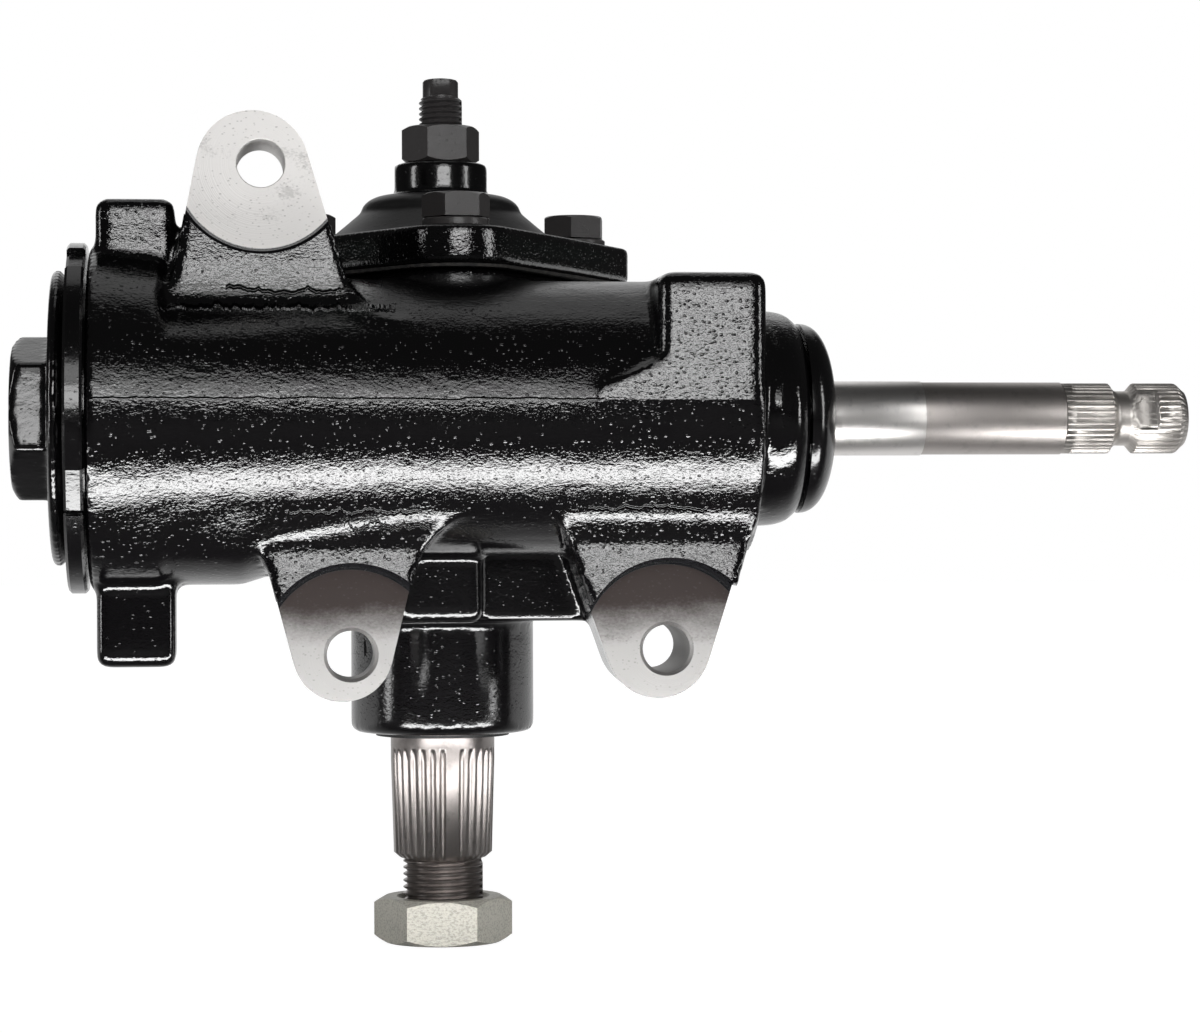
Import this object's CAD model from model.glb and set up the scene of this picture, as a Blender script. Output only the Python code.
"""Steering gearbox: the finished surfaces, materials, camera, floor and light on its fixed frame.

Metres. Z is the pitman shaft's axis, X the steering shaft's direction, and the frame ears face -Y.
"""

import bmesh
import bpy
import numpy as np
from bpy.props import FloatProperty, FloatVectorProperty, IntProperty, PointerProperty
from mathutils import Matrix, Vector


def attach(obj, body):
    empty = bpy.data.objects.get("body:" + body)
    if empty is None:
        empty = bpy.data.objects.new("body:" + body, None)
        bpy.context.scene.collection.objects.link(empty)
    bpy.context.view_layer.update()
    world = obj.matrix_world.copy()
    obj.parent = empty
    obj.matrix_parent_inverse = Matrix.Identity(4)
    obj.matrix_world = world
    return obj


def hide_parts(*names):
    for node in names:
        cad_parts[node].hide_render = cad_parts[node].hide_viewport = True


bl_info = {
    "name": "Steering Gearbox",
    "version": (1, 0, 0),
    "blender": (4, 5, 0),
    "location": "View3D > Sidebar > Gearbox",
    "description": "Builds the surfaces, materials and studio of a steering gearbox",
    "category": "Object",
}

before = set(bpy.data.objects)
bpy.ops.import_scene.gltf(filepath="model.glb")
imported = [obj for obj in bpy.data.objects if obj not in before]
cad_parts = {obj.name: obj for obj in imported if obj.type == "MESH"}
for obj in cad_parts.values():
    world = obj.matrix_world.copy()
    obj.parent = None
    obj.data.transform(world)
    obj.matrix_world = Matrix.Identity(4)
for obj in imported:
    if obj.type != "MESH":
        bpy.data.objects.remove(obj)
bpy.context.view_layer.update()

# Gap between fitted pieces, the radius of a turned piece's closed end, and the floor's height
GAP = 0.0003
POLE = 0.0001
FLOOR = -0.0004

# Steering shaft's axis
WORM_Y = -0.0450
WORM_Z = 0.1445

# Places along the steering shaft
BARREL_LEFT = -0.0953966
COLLAR_STEP = -0.0769966
NECK_END = -0.0559966
TAPER_END = -0.0359966
FRONT_TAPER_END = -0.0150
BARREL_RIGHT = 0.0784966
NOSE_SHOULDER = 0.0844966
NOSE_RIGHT = 0.0921966
SHAFT_STEP = 0.1259966
SPLINE_START = 0.1644966
GROOVE_START = 0.1777966
GROOVE_END = 0.1849966
SHAFT_END = 0.1986966

# Radii round the steering shaft
BARREL_RADIUS = 0.0365
BARREL_BORE = 0.0305
UPPER_EAR_BARREL = 0.0374
COLLAR_RADIUS = 0.0450
NECK_RADIUS = 0.0438
NOSE_RADIUS = 0.0288
NOSE_TIP_RADIUS = 0.0256
PLUG_THREAD = 0.0355
SEAL_BORE = 0.0200
SHAFT_RADIUS = 0.0100
SPLINE_RADIUS = 0.009525

# Heights along the pitman shaft
TOWER_BOTTOM = 0.0587
TOWER_ROOT = 0.1120
CHAMBER_BOTTOM = 0.1195
CHAMBER_FLOOR = 0.1285
FLANGE_BOTTOM = 0.1740
FLANGE_TOP = 0.1836
COVER_BOTTOM = 0.1850
COVER_TOP = 0.1950
BOSS_BOTTOM = 0.2078
BOSS_TOP = 0.2167
NUT_BOTTOM = 0.2170
NUT_TOP = 0.2270
SCREW_TOP = 0.2352
TIP_TOP = 0.2403

# Radii round the pitman shaft
TOWER_RADIUS = 0.0254
TOWER_ROOT_RADIUS = 0.0330
CHAMBER_BORE = 0.0312089
CHAMBER_RADIUS = CHAMBER_BORE + 0.0065
SHOULDER_RADIUS = 0.01445
JOURNAL_RADIUS = 0.01585
PITMAN_THREAD = 0.0111

# Cover bolts: places round the pitman shaft and each head's turn
BOLT_CIRCLE = 0.0446089
COVER_SHIFT = 0.0010
BOLT_ANGLES = {"front": np.radians(-90), "right": np.radians(30), "left": np.radians(150)}
BOLT_TURNS = {"front": np.radians(8), "right": np.radians(20), "left": np.radians(50)}

# Clamp lugs: least and greatest (x, y), and their edges' radius
PAD_LOW = (-0.0934966, -0.0580)
PAD_HIGH = (-0.0729966, -0.0320)
PAD_EDGE = 0.0028

# How far the corner block and its gusset stand proud of the barrel, and the block's left end
CORNER_PROUD = 0.0004
CORNER_LEFT = 0.0504966

# Hexagons across their flats, the bolt head's and washer's heights, and the plug's two ends
BOLT_FLATS = 0.0160
ADJUSTER_NUT_FLATS = 0.0190
PITMAN_NUT_FLATS = 0.0333
PLUG_FLATS = 0.0380
BOLT_HEAD = 0.0064
WASHER_HEIGHT = 0.0023
PLUG_END = -0.1154966
PLUG_FACE = -0.1040

# Depth of the casting skin's bumps, and its seams: the parting line, then the ears' rough feet
CAST_BUMP = 0.00045
PARTING_LINE = 0.1483
RIDGE_SOCKETS = ("Line", "Waver", "Scale", "Width", "Rise", "From", "To", "Front")
CAST_RIDGES = [dict(zip(RIDGE_SOCKETS, row)) for row in (
    (PARTING_LINE, 0.0022, 90.0, 0.0005, 0.00035, -0.2, 0.0360, -0.0730),
    (0.1722, 0.0040, 300.0, 0.0011, 0.0009, -0.0765, -0.0165, -0.0665),
    (0.1765, 0.0090, 60.0, 0.0007, 0.0004, -0.0600, -0.0230, -0.0660),
    (0.1195, 0.0060, 150.0, 0.0006, 0.0004, -0.0440, -0.0110, -0.0690),
    (0.1160, 0.0110, 160.0, 0.0006, 0.0004, -0.0300, -0.0080, -0.0680),
    (0.1205, 0.0050, 90.0, 0.0006, 0.0004, 0.0330, 0.0640, -0.0690),
)]

# Ears: hole's place, side of the barrel, the outline's sizes, then the cast foot: how far before the
# pitman shaft it stands, the height at which it bends and its slopes above and below the bend
EAR_PLANE = -0.0620
EAR_CAST_PLANE = -0.0655
EAR_HOLE = 0.00625
SPOT_FACE = 0.0240
EARS = {
    "upper": {"x": -0.0508, "z": 0.2101, "up": 1, "rise": 0.0291, "tip": 0.0148,
              "feet": (-0.0252, 0.0253), "flares": (0.0, 0.0180), "thick": 0.0308,
              "foot": 0.0686, "bend": 0.1800, "leans": (0.0, 0.05)},
    "left": {"x": -0.0279, "z": 0.0826, "up": -1, "rise": 0.0254, "tip": 0.0134,
             "feet": (-0.0256, 0.0203), "flares": (0.0210, 0.0210), "thick": 0.0170,
             "foot": 0.0700, "bend": 0.1100, "leans": (0.10, 0.17)},
    "right": {"x": 0.0548, "z": 0.0836, "up": -1, "rise": 0.0244, "tip": 0.0140,
              "feet": (-0.0296, 0.0237), "flares": (0.0060, 0.0), "thick": 0.0365,
              "foot": 0.0700, "bend": 0.1115, "leans": (0.10, 0.17)},
}


# Meshes


def tidy_mesh(mesh):
    """Merge doubles and point every face outwards."""
    data = bmesh.new()
    data.from_mesh(mesh)
    bmesh.ops.remove_doubles(data, verts=data.verts, dist=2e-6)
    bmesh.ops.dissolve_degenerate(data, edges=data.edges, dist=1e-7)
    bmesh.ops.recalc_face_normals(data, faces=data.faces)
    data.to_mesh(mesh)
    data.free()
    return mesh


def skin(name, rings, loop=False, filled=True):
    """Skin over rings of points.

    The array is (rings, points, 3). Point k of each ring joins point k of the next by a quad; with
    loop the last ring joins the first, otherwise both end rings are filled unless they stay open.
    """
    rings = np.asarray(rings, dtype=float)
    count, around = rings.shape[:2]
    first = np.arange(count if loop else count - 1)[:, None] * around
    second = (first + around) % (count * around)
    here = np.arange(around)[None, :]
    there = (here + 1) % around
    quads = np.stack([first + here, first + there, second + there, second + here], axis=-1)
    faces = quads.reshape(-1, 4).tolist()
    if filled and not loop:
        faces += [list(range(around)), list(range((count - 1) * around, count * around))]
    mesh = bpy.data.meshes.new(name)
    mesh.from_pydata(rings.reshape(-1, 3).tolist(), [], faces)
    return tidy_mesh(mesh)


def on_axis(points, axis="pitman", at=(0.0, 0.0)):
    """Local (across, across, along) points put on the pitman shaft's or the steering shaft's axis."""
    across, over, along = np.moveaxis(np.asarray(points, dtype=float), -1, 0)
    if axis == "worm":
        return np.stack([along, WORM_Y + across, WORM_Z + over], axis=-1)
    return np.stack([at[0] + across, at[1] + over, along], axis=-1)


def turned(name, profile, steps=96, axis="pitman", at=(0.0, 0.0), loop=False):
    """Profile of (radius, height) points carried once round an axis."""
    profile = np.asarray(profile, dtype=float)
    angle = np.linspace(0, 2 * np.pi, steps, endpoint=False)
    radius = np.broadcast_to(profile[:, :1], (len(profile), steps))
    return polar(name, radius, profile[:, 1:], angle, axis, at, loop)


def polar(name, radius, height, angle, axis="pitman", at=(0.0, 0.0), loop=False):
    """Skin whose radius and height are both given over (row, angle)."""
    rings = np.stack([radius * np.cos(angle), radius * np.sin(angle),
                      np.broadcast_to(height, radius.shape)], axis=-1)
    return skin(name, on_axis(rings, axis, at), loop)


def rounded_box(name, low, high, radius, steps=4):
    """Box with round edges: each eighth of a ball of that radius, pushed out to its own corner."""
    low, high = np.asarray(low, dtype=float), np.asarray(high, dtype=float)
    quarter = np.linspace(0, np.pi / 2, steps + 1)
    turn = np.concatenate([quarter + side * np.pi / 2 for side in range(4)])
    along = np.repeat([1, -1, -1, 1], steps + 1)
    over = np.repeat([1, 1, -1, -1], steps + 1)
    rise = np.concatenate([quarter - np.pi / 2, quarter])
    level = np.repeat([-1, 1], steps + 1)
    ball = np.stack([np.cos(rise)[:, None] * np.cos(turn), np.cos(rise)[:, None] * np.sin(turn),
                     np.broadcast_to(np.sin(rise)[:, None], (len(rise), len(turn)))], axis=-1)
    corner = np.stack([np.broadcast_to(along, ball.shape[:2]), np.broadcast_to(over, ball.shape[:2]),
                       np.broadcast_to(level[:, None], ball.shape[:2])], axis=-1)
    return skin(name, (low + high) / 2 + corner * ((high - low) / 2 - radius) + radius * ball)


def outline_slab(name, outline, start, end, along="Z", edge=0.0, steps=4):
    """Flat outline carried from start to end, with its two rims drawn in towards the origin.

    The rim's inset and height follow a quarter circle of the edge radius.
    """
    outline = np.asarray(outline, dtype=float)
    reach = np.linalg.norm(outline, axis=1, keepdims=True)
    quarter = np.linspace(0, np.pi / 2, steps + 1) if edge else np.array([np.pi / 2])
    inset = edge * (1 - np.sin(quarter))
    drop = edge * (1 - np.cos(quarter))
    levels = np.concatenate([start + drop, end - drop[::-1]])
    insets = np.concatenate([inset, inset[::-1]])
    flat = outline[None] * (1 - insets[:, None, None] / reach[None])
    level = np.broadcast_to(levels[:, None], flat.shape[:2])
    if along == "Z":
        rings = np.stack([flat[..., 0], flat[..., 1], level], axis=-1)
    else:
        rings = np.stack([flat[..., 0], level, flat[..., 1]], axis=-1)
    return skin(name, rings)


def hull_outline(circles, steps=96):
    """Outline of a string pulled tight round circles (x, y, radius), walked by direction.

    For each direction the farthest circle's point in that direction is taken.
    """
    circles = np.asarray(circles, dtype=float)
    angle = np.linspace(0, 2 * np.pi, steps * 3, endpoint=False)
    ray = np.stack([np.cos(angle), np.sin(angle)], axis=-1)
    reach = ray @ circles[:, :2].T + circles[:, 2]
    best = np.argmax(reach, axis=1)
    return circles[best, :2] + circles[best, 2:3] * ray


def arc(start, end, steps):
    return np.linspace(start, end, steps + 1)


def ear_outline(ear, steps=24):
    """Outline of an ear in the photo's plane: round tip, straight flanks and hollow feet.

    Each flank is the tangent from its foot to the tip circle, and the foot is an arc of the flare's
    radius that meets the flank and the foot line.
    """
    root, shift, drop = 0.0120, 0.0022, 0.0009
    height, tip = ear["rise"] + root - drop, ear["tip"]
    sides = []
    for side, foot, flare in zip((-1, 1), ear["feet"], ear["flares"]):
        across = -shift - foot
        flank = np.arctan2(height, across) - side * np.arcsin(tip / np.hypot(across, height))
        opening = flank if side > 0 else np.pi - flank
        middle = foot + side * flare / np.tan(opening / 2)
        end = flank + np.pi / 2 - 2 * np.pi if side > 0 else flank - np.pi / 2
        angle = arc(-np.pi / 2, end, steps // 2) if flare else np.zeros(1)
        curve = np.stack([middle + flare * np.cos(angle), flare + flare * np.sin(angle)], axis=-1)
        sides.append((flank, curve if flare else np.array([[foot, 0.0]])))
    (left_flank, left_curve), (right_flank, right_curve) = sides
    angle = arc(right_flank - np.pi / 2, left_flank + np.pi / 2, steps)
    tip_curve = np.stack([-shift + tip * np.cos(angle), height + tip * np.sin(angle)], axis=-1)
    local = np.concatenate([right_curve, tip_curve, left_curve[::-1]])
    foot_z = WORM_Z + ear["up"] * (BARREL_RADIUS - root)
    return np.stack([ear["x"] + local[:, 0], foot_z + ear["up"] * local[:, 1]], axis=-1)


def ear_mesh(ear):
    """Ear plate: its outline up to the cast plane, drawn in by a tenth at the back for the draft."""
    outline = ear_outline(ear)
    hole = np.array([ear["x"], ear["z"]])
    back = hole + (outline - hole) * 0.90
    places = np.array([0, 0, 0.0004, 0.5, 1])
    flat = outline[None] * (1 - places[:, None, None]) + back[None] * places[:, None, None]
    depth = EAR_CAST_PLANE + places * ear["thick"] - np.array([0.0200, 0, 0, 0, 0])
    level = np.broadcast_to(depth[:, None], flat.shape[:2])
    return skin("ear", np.stack([flat[..., 0], level, flat[..., 1]], axis=-1))


def hex_reach(angle, flats, turn):
    """Distance from a hexagon's middle to its side in each direction."""
    part = np.mod(angle - turn, np.pi / 3) - np.pi / 6
    return flats / 2 / np.cos(part)


def hex_rows(flats, bottom, top, turn, low=True, high=True, steps=144):
    """Rows of a hexagon whose ends are turned off by a cone.

    The cone starts at the flats' own radius on the end face and drops with the extra reach of the
    corners times the tangent of its lean, 30 degrees.
    """
    angle = np.linspace(0, 2 * np.pi, steps, endpoint=False) + turn
    reach = hex_reach(angle, flats, turn)
    start = flats / 2 * 0.975
    drop = (reach - start) * np.tan(np.radians(30))
    rows = []
    if low:
        rows += [(np.full(steps, start), np.full(steps, bottom)), (reach, bottom + drop)]
    else:
        rows += [(reach, np.full(steps, bottom))]
    if high:
        rows += [(reach, top - drop), (np.full(steps, start), np.full(steps, top))]
    else:
        rows += [(reach, np.full(steps, top))]
    return angle, rows


def ring_row(radius, height, steps=144):
    return np.full(steps, radius), np.full(steps, height)


def hex_mesh(name, rows, angle, axis="pitman", at=(0.0, 0.0), loop=False):
    radius, height = np.swapaxes(np.array(rows), 0, 1)
    return polar(name, radius, height, angle, axis, at, loop)


def nut_mesh(flats, bore, chamfer, low, high, turn):
    """Hexagon nut, its bore chamfered at both ends."""
    angle, rows = hex_rows(flats, low, high, np.radians(turn))
    rows = [ring_row(bore, low + chamfer), ring_row(bore + chamfer, low), *rows,
            ring_row(bore + chamfer, high), ring_row(bore, high - chamfer)]
    return hex_mesh("nut", rows, angle, loop=True)


def thread_rows(crest, root, pitch, start, end, steps=96, fine=10):
    """Screw thread: radius by how far a point is through the pitch, which grows with the angle.

    Rows climb one pitch for each turn, so ridges lie along them; rows past either end are pressed
    flat on it, and the crest is turned off by a cone there.
    """
    angle = np.linspace(0, 2 * np.pi, steps, endpoint=False)
    count = int(np.ceil((end - start) / pitch)) + 1
    step = np.arange(-fine, count * fine + 1)
    through = np.mod(step, fine) / fine
    ridge = np.clip((np.abs(through - 0.5) - 0.06) / 0.36, 0, 1)
    height = start + pitch * (step[:, None] / fine + angle[None] / (2 * np.pi))
    radius = np.broadcast_to((root + (crest - root) * ridge)[:, None], height.shape)
    height = np.clip(height, start, end)
    room = root + np.minimum(height - start, end - height) * 1.1
    return np.minimum(radius, np.maximum(room, root * 0.985)), height, angle


def spline_rows(rows, teeth, turn=0.0, blanks=(), fine=10):
    """Splined bar from (height, tip radius, root radius) rows; teeth have sloping, rounded sides.

    Across one tooth the radius is the root's plus the depth times a clipped and smoothed triangle.
    """
    angle = np.arange(teeth * fine) * 2 * np.pi / (teeth * fine)
    through = np.mod(np.arange(teeth * fine), fine) / fine
    wave = np.clip((np.abs(through - 0.5) - 0.12) / 0.22, 0, 1)
    wave = wave * wave * (3 - 2 * wave)
    tooth = np.arange(teeth * fine) // fine
    wave = np.where(np.isin(tooth, list(blanks)), 1.0, wave)
    height, tip, root = np.asarray(rows, dtype=float).T
    radius = root[:, None] + (tip - root)[:, None] * wave[None]
    return radius, np.broadcast_to(height[:, None], radius.shape), angle + turn


def swept(name, path, across, over, section):
    """Section of (across, over) points carried along a path with its two side directions."""
    rings = (path[:, None] + section[None, :, :1] * across[:, None]
             + section[None, :, 1:] * over[:, None])
    return skin(name, rings)


# Objects


def new_object(name, *meshes):
    """One object of one or more meshes."""
    data = bmesh.new()
    for mesh in meshes:
        data.from_mesh(mesh)
    mesh = bpy.data.meshes.new(name)
    data.to_mesh(mesh)
    data.free()
    for used in meshes:
        bpy.data.meshes.remove(used)
    item = bpy.data.objects.new(name, mesh)
    bpy.context.scene.collection.objects.link(item)
    return item


def apply_modifier(item, kind, **settings):
    """Run one modifier on an object and keep its result."""
    step = item.modifiers.new(kind.lower(), kind)
    for key, value in settings.items():
        setattr(step, key, value)
    bpy.context.view_layer.update()
    graph = bpy.context.evaluated_depsgraph_get()
    mesh = bpy.data.meshes.new_from_object(item.evaluated_get(graph), depsgraph=graph)
    old = item.data
    item.modifiers.clear()
    item.data = mesh
    bpy.data.meshes.remove(old)


def carve(item, *meshes):
    """Cut closed meshes that don't touch each other out of an object."""
    tool = new_object("cutter", *meshes)
    apply_modifier(item, "BOOLEAN", operation="DIFFERENCE", object=tool, solver="EXACT")
    bpy.data.objects.remove(tool, do_unlink=True)
    return item


def cast(name, voxel, smoothing, *meshes):
    """Melt overlapping closed forms into one casting with soft corners and fillets."""
    item = new_object(name, *meshes)
    apply_modifier(item, "REMESH", mode="VOXEL", voxel_size=voxel, adaptivity=0.0)
    apply_modifier(item, "SMOOTH", factor=0.5, iterations=smoothing)
    return item


def kept_part(node, normal, place):
    """Copy of a CAD node's mesh, merged, with what lies before a plane cut off and filled."""
    data = bmesh.new()
    data.from_mesh(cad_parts[node].data)
    bmesh.ops.remove_doubles(data, verts=data.verts, dist=1e-6)
    everything = data.verts[:] + data.edges[:] + data.faces[:]
    result = bmesh.ops.bisect_plane(data, geom=everything, plane_co=place, plane_no=normal,
                                    clear_inner=True)
    rim = [piece for piece in result["geom_cut"] if isinstance(piece, bmesh.types.BMEdge)]
    bmesh.ops.holes_fill(data, edges=rim)
    mesh = bpy.data.meshes.new(node)
    data.to_mesh(mesh)
    data.free()
    return mesh


def face_places(item):
    """Middle and normal of every face, as arrays."""
    count = len(item.data.polygons)
    middle, normal = np.empty(count * 3), np.empty(count * 3)
    item.data.polygons.foreach_get("center", middle)
    item.data.polygons.foreach_get("normal", normal)
    return middle.reshape(-1, 3), normal.reshape(-1, 3)


def dress(item, body, slot, *materials, choose=None, sharp=34):
    """Give a piece its materials, its shading, its body and its slot.

    choose(middle, normal) returns the number of each face's material.
    """
    item.data.materials.clear()
    for material in materials:
        item.data.materials.append(material)
    if choose is not None:
        index = choose(*face_places(item)).astype(np.int32)
        item.data.polygons.foreach_set("material_index", index)
    item.data.shade_smooth()
    item.data.set_sharp_from_angle(angle=np.radians(sharp))
    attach(item, body)
    return item


# Shader nodes


def add_node(tree, kind, inputs=None, **settings):
    """Add a node, set it up, and link or fill its sockets."""
    item = tree.nodes.new(kind)
    for key, value in settings.items():
        setattr(item, key, value)
    fill(tree, item, inputs or {})
    return item


def fill(tree, node, sockets):
    """Link other nodes' outputs or plain values to a node's inputs."""
    for key, value in sockets.items():
        if isinstance(value, bpy.types.NodeSocket):
            tree.links.new(value, node.inputs[key])
        else:
            node.inputs[key].default_value = value


def maths(tree, operation, first, second=0.0, third=0.0):
    return add_node(tree, "ShaderNodeMath", {0: first, 1: second, 2: third},
                    operation=operation).outputs[0]


def product(tree, *values):
    """All values multiplied, in their order."""
    result = values[0]
    for value in values[1:]:
        result = maths(tree, "MULTIPLY", result, value)
    return result


def vector_maths(tree, operation, first, second=(0, 0, 0)):
    return add_node(tree, "ShaderNodeVectorMath", {0: first, 1: second}, operation=operation).outputs


def noise(tree, place, scale, detail, roughness=0.5):
    """Noise over a vector, or along a single number."""
    single = place.type == "VALUE"
    inputs = {"W" if single else "Vector": place, "Scale": scale, "Detail": detail,
              "Roughness": roughness}
    return add_node(tree, "ShaderNodeTexNoise", inputs,
                    noise_dimensions="1D" if single else "3D").outputs[0]


def ramp(tree, value, low, high, to_low=0.0, to_high=1.0):
    """Value taken smoothly from one range to another."""
    inputs = {"Value": value, "From Min": low, "From Max": high, "To Min": to_low, "To Max": to_high}
    return add_node(tree, "ShaderNodeMapRange", inputs, interpolation_type="SMOOTHSTEP").outputs[0]


def blend_colour(tree, factor, first, second):
    return add_node(tree, "ShaderNodeMix", {0: factor, 6: first, 7: second},
                    data_type="RGBA").outputs[2]


def dimmed(colour, part=1.0):
    """Colour times a number, with its alpha."""
    return (*(value * part for value in colour), 1)


def shader_group(name, inputs, outputs):
    """Empty node group with its named sockets; returns the group, its inputs and its output node."""
    group = bpy.data.node_groups.new(name, "ShaderNodeTree")
    for label, value in inputs.items():
        socket = group.interface.new_socket(label, in_out="INPUT", socket_type="NodeSocketFloat")
        socket.default_value = value
    for label in outputs:
        group.interface.new_socket(label, in_out="OUTPUT", socket_type="NodeSocketFloat")
    start = group.nodes.new("NodeGroupInput")
    return group, start.outputs, group.nodes.new("NodeGroupOutput")


def use_group(tree, group, inputs=None):
    """Outputs of a node group placed in a tree with its own values."""
    return add_node(tree, "ShaderNodeGroup", inputs, node_tree=group).outputs


def place_parts(tree):
    """Object coordinates as separate X, Y and Z."""
    place = add_node(tree, "ShaderNodeTexCoord").outputs["Object"]
    return add_node(tree, "ShaderNodeSeparateXYZ", {0: place}).outputs


def cast_grain_group():
    """Sand-cast skin under paint: lumps, orange peel and steep specks, as a height and a mask.

    Specks stand at the middles of random cells; a cell's own number and the peel vary their size.
    """
    group, given, end = shader_group(
        "Cast grain", {"Lump Scale": 170.0, "Peel Scale": 1500.0, "Pit Scale": 950.0,
                       "Lump": 0.6, "Peel": 0.24, "Pit": 0.20}, ("Height", "Flecks"))
    place = add_node(group, "ShaderNodeTexCoord").outputs["Object"]
    place = vector_maths(group, "MULTIPLY", place, (0.62, 1, 1))[0]
    lump = noise(group, place, given["Lump Scale"], 3.0, 0.55)
    peel = noise(group, place, given["Peel Scale"], 2.0, 0.6)
    pits = add_node(group, "ShaderNodeTexVoronoi", {"Vector": place, "Scale": given["Pit Scale"]})
    away = maths(group, "MULTIPLY_ADD", pits.outputs["Color"], 0.45, pits.outputs["Distance"])
    specks = ramp(group, maths(group, "MULTIPLY_ADD", peel, 0.6, away), 0.74, 0.46)
    height = product(group, lump, given["Lump"])
    height = maths(group, "MULTIPLY_ADD", peel, given["Peel"], height)
    height = maths(group, "MULTIPLY_ADD", specks, given["Pit"], height)
    fill(group, end, {"Height": height, "Flecks": specks})
    return group


def machining_group():
    """Marks of a round cutter about the nearest ear hole, as a height, and the hole's distance."""
    group, given, end = shader_group("Machining marks", {"Ring Scale": 2600.0, "Wobble": 0.0004},
                                     ("Height", "Distance"))
    place = add_node(group, "ShaderNodeTexCoord").outputs["Object"]
    nearest = None
    for ear in EARS.values():
        away = vector_maths(group, "SUBTRACT", place, (ear["x"], 0, ear["z"]))[0]
        away = vector_maths(group, "MULTIPLY", away, (1, 0, 1))[0]
        away = vector_maths(group, "LENGTH", away)["Value"]
        nearest = away if nearest is None else maths(group, "MINIMUM", nearest, away)
    bent = maths(group, "MULTIPLY_ADD", noise(group, place, 260.0, 2.0), given["Wobble"], nearest)
    rings = noise(group, bent, given["Ring Scale"], 3.0)
    fill(group, end, {"Height": rings, "Distance": nearest})
    return group


def ridge_group():
    """Raised seam that wavers along X at a height of its own, as a height in metres.

    Height = Rise * step(|z - line| / Width) between From and To, on the casting's front.
    """
    group, given, end = shader_group("Casting ridge", CAST_RIDGES[0], ("Height",))
    x, y, z = place_parts(group)[:3]
    waver = noise(group, x, given["Scale"], 4.0, 0.6)
    line = maths(group, "MULTIPLY_ADD", maths(group, "SUBTRACT", waver, 0.5), given["Waver"],
                 given["Line"])
    away = maths(group, "DIVIDE", maths(group, "ABSOLUTE", maths(group, "SUBTRACT", z, line)),
                 given["Width"])
    rise = product(group, ramp(group, away, 1.0, 0.0), given["Rise"])
    inside = product(group, maths(group, "GREATER_THAN", x, given["From"]),
                     maths(group, "LESS_THAN", x, given["To"]),
                     maths(group, "LESS_THAN", y, given["Front"]))
    fill(group, end, {"Height": product(group, rise, inside)})
    return group


def turning_group():
    """Fine lines that run round an axis: noise stretched round it, as a height."""
    group, given, end = shader_group("Turning lines", {"Along X": 60.0, "Along Z": 60.0,
                                                       "Across": 60.0}, ("Height", "Stain"))
    place = add_node(group, "ShaderNodeTexCoord").outputs["Object"]
    scale = add_node(group, "ShaderNodeCombineXYZ", {"X": given["Along X"], "Y": given["Across"],
                                                     "Z": given["Along Z"]}).outputs[0]
    stretched = vector_maths(group, "MULTIPLY", place, scale)[0]
    fill(group, end, {"Height": noise(group, stretched, 1.0, 3.0),
                      "Stain": noise(group, place, 240.0, 4.0, 0.65)})
    return group


def new_material(name, colour, roughness, metallic=0.0, **sockets):
    """Principled material with its plain values; returns the material, its tree and its shader."""
    material = bpy.data.materials.new(name)
    material.use_nodes = True
    shader = material.node_tree.nodes["Principled BSDF"]
    sockets = {label.replace("_", " "): value for label, value in sockets.items()}
    fill(material.node_tree, shader, {"Base Color": (*colour, 1), "Roughness": roughness,
                                      "Metallic": metallic, **sockets})
    material.diffuse_color = (*colour, 1)
    return material, material.node_tree, shader


def seen_directly(tree):
    """Light Path's outputs, and 1 for rays that come straight or through glass from the camera."""
    path = add_node(tree, "ShaderNodeLightPath").outputs
    return path, maths(tree, "MAXIMUM", path["Is Camera Ray"], path["Is Transmission Ray"])


def add_bump(tree, shader, height, distance, strength=1.0):
    inputs = {"Height": height, "Distance": distance, "Strength": strength}
    fill(tree, shader, {"Normal": add_node(tree, "ShaderNodeBump", inputs).outputs[0]})


def make_groups():
    return {"grain": cast_grain_group(), "machining": machining_group(),
            "ridge": ridge_group(), "turning": turning_group()}


def cast_paint(groups, name, colour, draft=0.075):
    """Gloss black over rough iron, duller low on the tower and on the barrel's crown.

    The bump is the skin's, less where the form is smooth, plus the lean of the draft and the seams.
    """
    material, tree, shader = new_material(name, colour, 0.2, Specular_IOR_Level=0.9)
    x, y, z = place_parts(tree)[:3]
    satin = product(tree, ramp(tree, z, 0.1270, 0.1230), ramp(tree, y, -0.0590, -0.0550))
    # rough on the front, smooth on the nose, the tower, and below the barrel behind its front
    smooth = maths(tree, "MAXIMUM", ramp(tree, x, 0.0790, 0.0800), ramp(tree, y, -0.0700, -0.0640))
    smooth = product(tree, smooth, ramp(tree, z, 0.1640, 0.1560))
    grain = use_group(tree, groups["grain"])
    smooth = maths(tree, "MAXIMUM", smooth, satin)
    height = product(tree, grain["Height"], ramp(tree, smooth, 0, 1, 1.0, 0.35))
    crown = product(tree, ramp(tree, z, 0.1660, 0.1760), ramp(tree, y, -0.0745, -0.0705),
                    ramp(tree, x, -0.0250, -0.0180), ramp(tree, z, 0.1828, 0.1815))
    rough = maths(tree, "MULTIPLY_ADD", satin, 0.07, 0.052)
    rough = maths(tree, "MULTIPLY_ADD", crown, 0.24, rough)
    fill(tree, shader, {"Roughness": rough})
    # the draft leans every face near the parting line away from it
    away = maths(tree, "ABSOLUTE", maths(tree, "SUBTRACT", z, PARTING_LINE))
    total = product(tree, maths(tree, "MINIMUM", away, 0.0360), -draft)
    for ridge in CAST_RIDGES if draft else ():
        seam = use_group(tree, groups["ridge"], ridge)
        total = maths(tree, "ADD", total, seam["Height"])
    add_bump(tree, shader, maths(tree, "MULTIPLY_ADD", total, 1 / CAST_BUMP, height), CAST_BUMP)
    return material


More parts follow.
